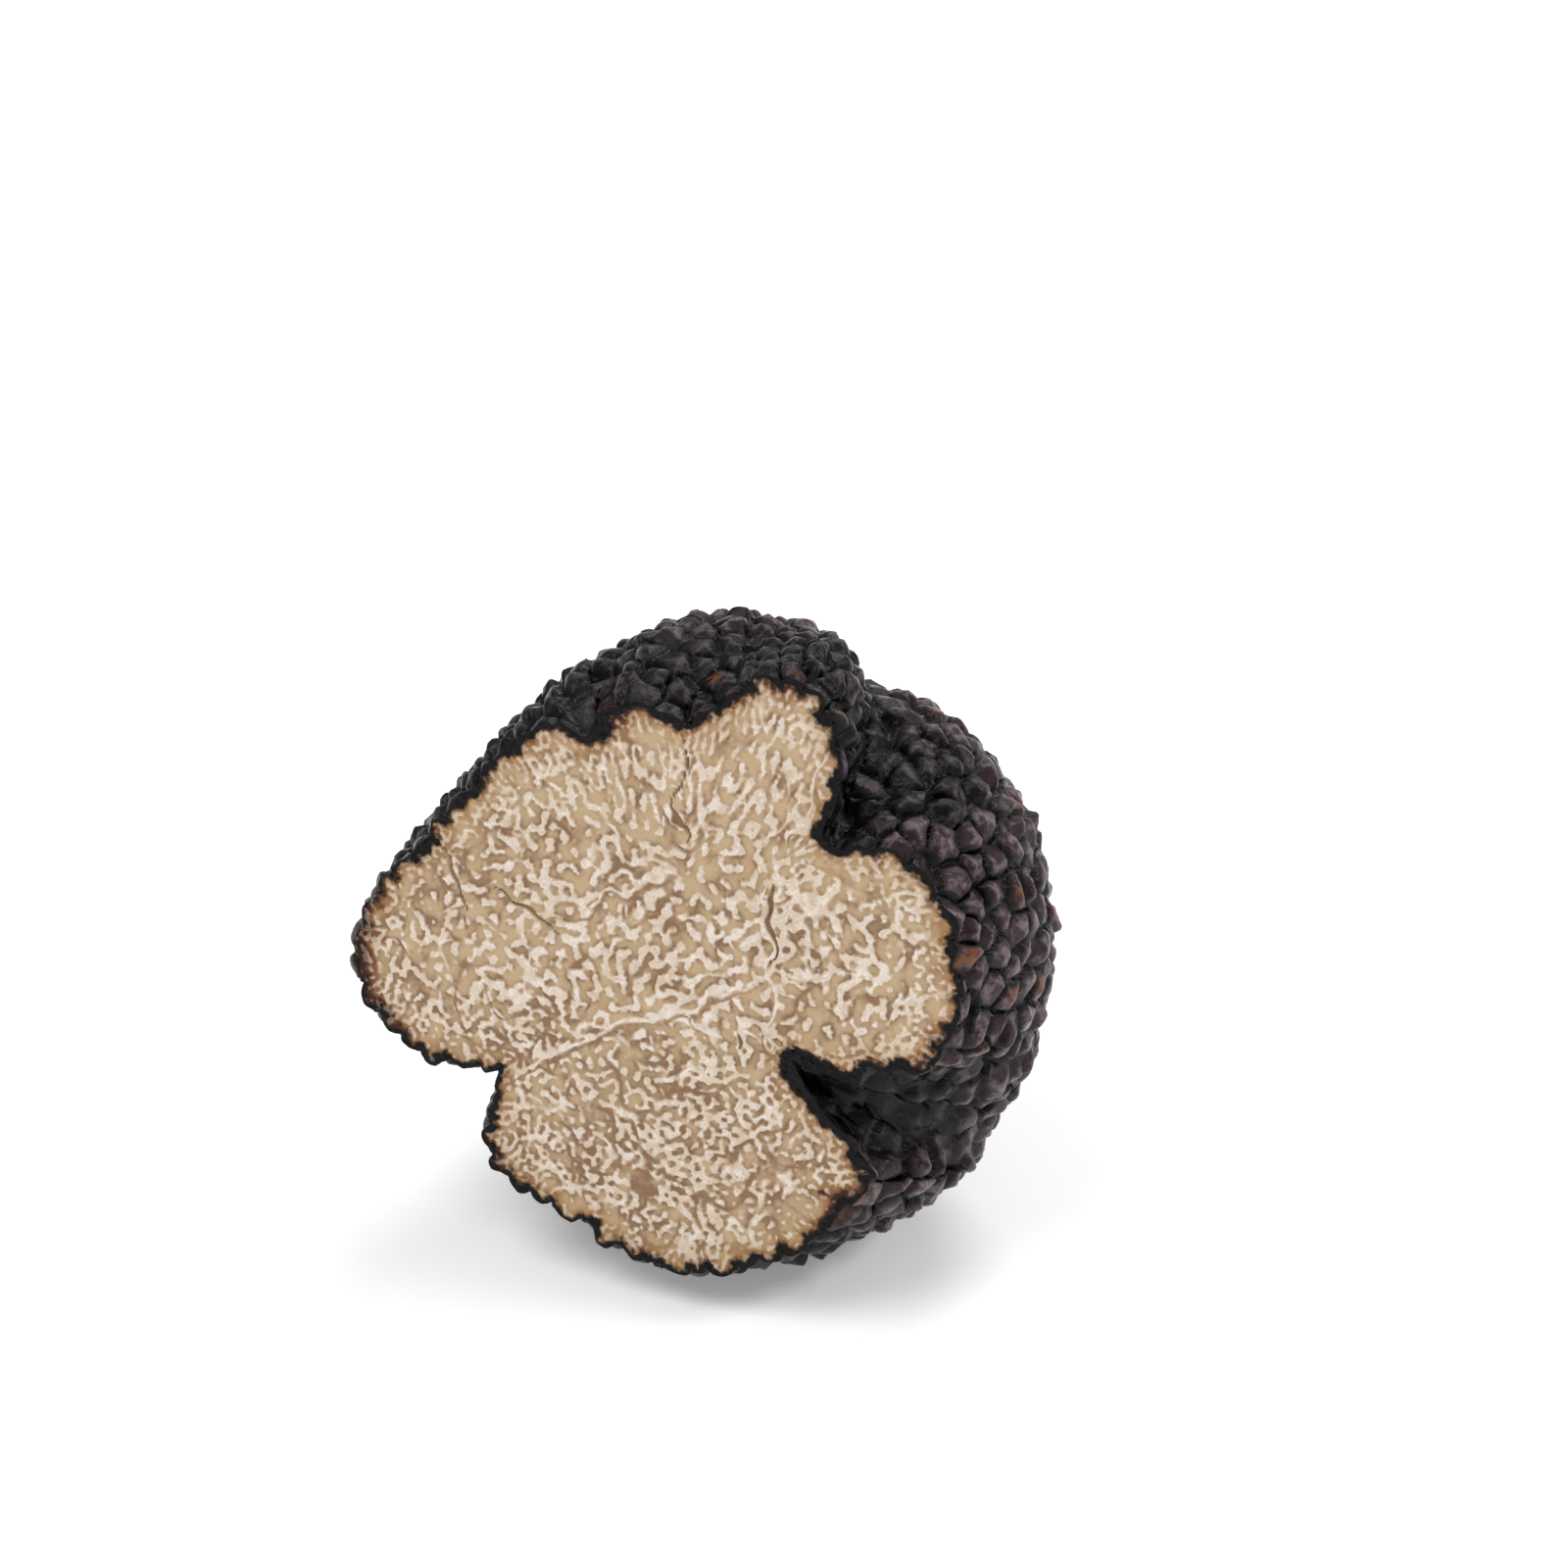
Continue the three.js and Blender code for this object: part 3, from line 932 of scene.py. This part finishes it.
def flesh_piece(skin):
    share, round_share = ring_places(RINGS)
    place = round_share * 4 * RINGS
    rim = skin["points"][-4 * RINGS :]
    smooth_rim = along_ring(skin["smooth"][-4 * RINGS :], place)
    shift = along_ring(rim, place) - smooth_rim
    points = smooth_rim * share[:, None] + shift * smoothstep(1 - RIM_BLEND, 1, share)[:, None]
    edge = distance_to_rim(points, rim)
    fields = marbling(points[:, 0], points[:, 1])
    points[:, 2] += FLESH_RELIEF * fields["relief"] * smoothstep(*RELIEF_FROM_RIM, edge)
    attributes = {name: np.append(fields[name], 0) for name in ("fill", "depth", "plate", "shade", "light")}
    for nick in NICKS:
        away = np.hypot(points[:, 0] - nick["place"][0], points[:, 1] - nick["place"][1])
        edge = edge - nick["depth"] * bell(away / nick["reach"])
    attributes["edge"] = np.append(edge, 0)
    attributes["rust"] = np.append(rust_at(*points.T), 0)
    points = np.vstack([points, [[0, 0, -LENS_DEPTH]]])
    ring = np.arange(len(points) - 1 - 4 * RINGS, len(points) - 1)
    triangles = np.vstack([disc_triangles(RINGS), rim_fan(ring, len(points) - 1)[:, ::-1]])
    return make_piece("flesh", to_part(points), triangles, attributes)


def linear(red, green, blue):
    """A screen colour, 0 to 255, as the shader takes it, by the sRGB curve."""
    parts = [c / 255 for c in (red, green, blue)]
    return tuple(c / 12.92 if c <= 0.04045 else ((c + 0.055) / 1.055) ** 2.4 for c in parts) + (1,)


class Shader:
    """A material's nodes, each made and wired in one call."""

    def __init__(self, name):
        self.material = bpy.data.materials.new(name)
        self.material.use_nodes = True
        self.tree = self.material.node_tree
        self.surface = self.tree.nodes["Principled BSDF"]

    def feed(self, socket, value):
        if isinstance(value, bpy.types.NodeSocket):
            self.tree.links.new(value, socket)
        else:
            socket.default_value = value

    def attribute(self, name):
        node = self.tree.nodes.new("ShaderNodeAttribute")
        node.attribute_name = name
        return node.outputs["Fac"]

    def place(self):
        return self.tree.nodes.new("ShaderNodeTexCoord").outputs["Object"]

    def noise(self, length, detail=2.0, roughness=0.5):
        """Noise about 0.5 with features of a length in millimetres."""
        node = self.tree.nodes.new("ShaderNodeTexNoise")
        self.feed(node.inputs["Vector"], self.place())
        node.inputs["Scale"].default_value = 1 / (length * MM)
        node.inputs["Detail"].default_value = detail
        node.inputs["Roughness"].default_value = roughness
        return node.outputs["Fac"]

    def math(self, operation, *values):
        node = self.tree.nodes.new("ShaderNodeMath")
        node.operation = operation
        for socket, value in zip(node.inputs, values):
            self.feed(socket, value)
        return node.outputs[0]

    def sum(self, a, b, scale=1.0):
        """a + scale * b"""
        return self.math("MULTIPLY_ADD", b, scale, a)

    def product(self, a, b):
        return self.math("MULTIPLY", a, b)

    def step(self, low, high, value, to_low=0.0, to_high=1.0):
        """Value turned smoothly from to_low, at low, into to_high, at high."""
        node = self.tree.nodes.new("ShaderNodeMapRange")
        node.interpolation_type = "SMOOTHSTEP"
        for name, given in zip(("Value", "From Min", "From Max"), (value, low, high)):
            self.feed(node.inputs[name], given)
        node.inputs["To Min"].default_value = to_low
        node.inputs["To Max"].default_value = to_high
        return node.outputs["Result"]

    def mix(self, share, a, b):
        node = self.tree.nodes.new("ShaderNodeMix")
        node.data_type = "RGBA"
        self.feed(node.inputs["Factor"], share)
        colours = [i for i in node.inputs if i.type == "RGBA"]
        self.feed(colours[0], a)
        self.feed(colours[1], b)
        return next(o for o in node.outputs if o.type == "RGBA")

    def bump(self, height, depth, strength):
        """Bumps of a depth in millimetres where height goes from 0 to 1."""
        node = self.tree.nodes.new("ShaderNodeBump")
        node.inputs["Strength"].default_value = strength
        node.inputs["Distance"].default_value = depth * MM
        self.feed(node.inputs["Height"], height)
        self.feed(self.surface.inputs["Normal"], node.outputs["Normal"])

    def set(self, **values):
        for name, value in values.items():
            self.feed(self.surface.inputs[name.replace("_", " ")], value)


def skin_material():
    s = Shader("truffle_skin")
    paint = {name: linear(*screen) for name, screen in SKIN_COLOURS.items()}
    start = SKIN_FROM
    most = SKIN_SHARE
    inside = s.attribute("inside")
    tint = s.attribute("tint")
    # Purple-brown: the skin's own tint, made lighter on the right and at the back as painted rim light
    purple = s.sum(s.attribute("purple"), tint, 0.35)
    purple = s.step(*start["purple"], s.sum(purple, s.noise(0.9), 0.3))
    blue_black = s.mix(s.noise(0.35, 3), paint["black"], paint["blue_black"])
    purple_brown = s.mix(s.noise(0.5, 3), paint["dark_purple"], paint["purple_brown"])
    colour = s.mix(purple, blue_black, purple_brown)

    # Painted highlight along the warts' ridges and facet edges, stronger on purple skin
    edge_highlight = s.product(s.attribute("edge"), s.step(*start["edge_highlight"], s.noise(0.9, 4, 0.6)))
    edge_highlight = s.product(edge_highlight, s.sum(EDGE_HIGHLIGHT_SHARE, purple, EDGE_HIGHLIGHT_MORE))
    colour = s.mix(edge_highlight, colour, paint["edge_highlight"])
    tip = s.step(*start["tip"], s.sum(inside, s.noise(0.5), 0.2))
    tip = s.product(s.step(*start["tipped"], tint), tip)
    tip = s.product(tip, s.step(*start["tip_patches"], s.noise(0.8)))
    colour = s.mix(s.product(tip, most["tip"]), colour, paint["rusty_tip"])
    rusty = s.product(s.attribute("rust"), s.step(*start["rust"], s.noise(0.7, 3)))
    colour = s.mix(s.product(rusty, most["rust"]), colour, paint["rust"])

    # Painted shade: darker low on each wart, between the warts and deep in the furrows
    for name, value in (("low", inside), ("crease_shade", inside), ("furrow", s.attribute("furrow"))):
        colour = s.mix(s.step(*start[name], value, 0, most[name]), colour, paint[name])
    roughness = s.step(*start["rough"], s.noise(0.8, 3), *SKIN_ROUGHNESS)
    s.set(Base_Color=colour, Roughness=roughness, Specular_IOR_Level=SKIN_SPECULAR)
    s.bump(s.sum(s.noise(0.45, 4, 0.6), s.noise(0.16, 2), 0.35), **SKIN_BUMP)
    return s.material


def flesh_material():
    s = Shader("truffle_flesh")
    paint = {name: linear(*screen) for name, screen in FLESH_COLOURS.items()}
    start = FLESH_FROM
    most = FLESH_SHARE
    fill = s.attribute("fill")
    edge = s.attribute("edge")
    rust = s.attribute("rust")
    grain = s.noise(0.28, 2)
    depth = s.sum(s.attribute("depth"), s.sum(s.noise(0.55, 3), -0.5), 0.9)
    filled = s.step(*start["filled"], s.sum(fill, s.sum(grain, -0.5), 0.25))

    tan = s.mix(s.step(*start["tan"], depth), paint["light_tan"], paint["tan"])
    fills = s.mix(s.step(*start["brown"], depth), tan, paint["brown"])
    fills = s.mix(s.product(s.attribute("plate"), most["plate"]), fills, paint["plate"])

    cream = s.mix(s.step(*start["cream"], fill), paint["cream"], paint["high_cream"])
    # Painted highlight along the crests of the cream ridges
    crest_highlight = s.product(s.step(*start["crest_side"], fill), s.step(*start["crest_top"], fill))
    layers = {
        "light": s.step(*start["light"], s.attribute("light")),
        "olive": s.step(*start["olive"], s.attribute("shade")),
        "dull": s.step(*start["dull"], s.noise(1.1, 3)),
        "crest_highlight": s.product(crest_highlight, s.step(*start["crest_patches"], s.noise(0.8, 2))),
        "grain": s.step(*start["grain"], grain),
    }
    for name, share in layers.items():
        cream = s.mix(s.product(share, most[name]), cream, paint[name])
    colour = s.mix(filled, cream, fills)

    near_rim = s.product(s.step(*start["near_rim"], edge), most["near_rim"])
    colour = s.mix(near_rim, colour, paint["near_rim"])
    broad_teeth = s.step(*start["broad_teeth"], s.noise(1.6, 3, 0.55))
    fine_teeth = s.step(*start["fine_teeth"], s.noise(0.6, 3))
    into = s.sum(edge, s.sum(broad_teeth, fine_teeth, most["fine_teeth"]), -TEETH)
    glow = s.step(*start["glow"], s.sum(into, rust, -RUST_WIDENS["glow"]))
    patches = s.sum(s.noise(0.9, 3), rust, 0.2)
    glow = s.product(glow, s.step(*start["glow_patches"], patches, *GLOW_PATCHES))
    glow = s.product(glow, s.sum(GLOW_ON_CREAM, filled, 1 - GLOW_ON_CREAM))
    colour = s.mix(glow, colour, s.mix(rust, paint["glow"], paint["rusty_glow"]))
    burnt = s.step(*start["burnt"], s.sum(into, rust, -RUST_WIDENS["burnt"]))
    burnt = s.product(burnt, s.sum(BURNT_ON_CREAM, filled, 1 - BURNT_ON_CREAM))
    colour = s.mix(burnt, colour, s.mix(rust, paint["burnt"], paint["rusty_burnt"]))
    colour = s.mix(s.step(*start["rind"], into), colour, paint["rind"])

    roughness = s.step(*start["rough"], s.noise(0.4, 2), *FLESH_ROUGHNESS)
    s.set(Base_Color=colour, Roughness=roughness, Specular_IOR_Level=FLESH_SPECULAR)
    s.bump(s.sum(s.product(filled, -1.0), s.noise(0.2, 3), 0.3), **FLESH_BUMP)
    return s.material


def add_camera():
    a = math.radians(AZIMUTH)
    e = math.radians(ELEVATION)
    forward = Vector((-math.sin(a) * math.cos(e), math.cos(a) * math.cos(e), -math.sin(e)))
    right = Vector((math.cos(a), math.sin(a), 0))
    up = right.cross(forward)
    focal = IMAGE * LENS / SENSOR
    to_right = (FACE_PIXEL[0] - IMAGE / 2) / focal
    down = (FACE_PIXEL[1] - IMAGE / 2) / focal
    ray = forward + right * to_right - up * down
    data = bpy.data.cameras.new("camera")
    data.lens = LENS
    data.sensor_width = SENSOR
    data.clip_start = NEAREST_SEEN
    camera = bpy.data.objects.new("camera", data)
    turn = Matrix((right, up, -forward)).transposed().to_4x4()
    place = (Vector(FACE_MIDDLE) - ray * (focal * MM_PER_PIXEL)) * MM
    camera.matrix_world = Matrix.Translation(place) @ turn
    bpy.context.scene.collection.objects.link(camera)
    bpy.context.scene.camera = camera


def add_floor():
    mesh = bpy.data.meshes.new("floor")
    r = FLOOR_REACH
    mesh.from_pydata([(-r, -r, 0), (r, -r, 0), (r, r, 0), (-r, r, 0)], [], [(0, 1, 2, 3)])
    floor = bpy.data.objects.new("floor", mesh)
    bpy.context.scene.collection.objects.link(floor)
    s = Shader("floor")
    s.set(Base_Color=FLOOR_COLOUR, Roughness=FLOOR_ROUGHNESS)
    s.set(Emission_Color=WHITE, Emission_Strength=FLOOR_GLOW)
    mesh.materials.append(s.material)


def add_area_light(name, place, size, power, colour):
    data = bpy.data.lights.new(name, "AREA")
    data.shape = "DISK"
    data.size = size
    data.energy = power
    data.color = colour
    light = bpy.data.objects.new(name, data)
    aim = Vector(LIGHTS_AIM) - Vector(place)
    light.matrix_world = Matrix.Translation(place) @ aim.to_track_quat("-Z", "Y").to_matrix().to_4x4()
    bpy.context.scene.collection.objects.link(light)


def add_light():
    world = bpy.data.worlds.new("studio")
    world.use_nodes = True
    background = world.node_tree.nodes["Background"]
    background.inputs["Color"].default_value = WHITE
    background.inputs["Strength"].default_value = WORLD_STRENGTH
    bpy.context.scene.world = world
    for light in LIGHTS:
        add_area_light(**light)
    bpy.context.scene.view_settings.view_transform = "Standard"


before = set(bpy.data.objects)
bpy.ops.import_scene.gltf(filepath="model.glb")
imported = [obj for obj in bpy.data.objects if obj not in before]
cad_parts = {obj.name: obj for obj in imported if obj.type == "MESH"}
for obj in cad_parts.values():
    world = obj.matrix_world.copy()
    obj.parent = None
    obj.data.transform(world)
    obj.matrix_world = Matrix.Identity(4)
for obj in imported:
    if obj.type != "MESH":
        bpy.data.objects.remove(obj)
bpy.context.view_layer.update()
add_camera()
add_floor()
add_light()

surface = skin_surface()
skin = skin_piece(surface)
skin.data.materials.append(skin_material())
flesh = flesh_piece(surface)
flesh.data.materials.append(flesh_material())
for piece, slot in ((skin, "skin"), (flesh, "flesh")):
    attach(piece, "root")
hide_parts("truffle_half")
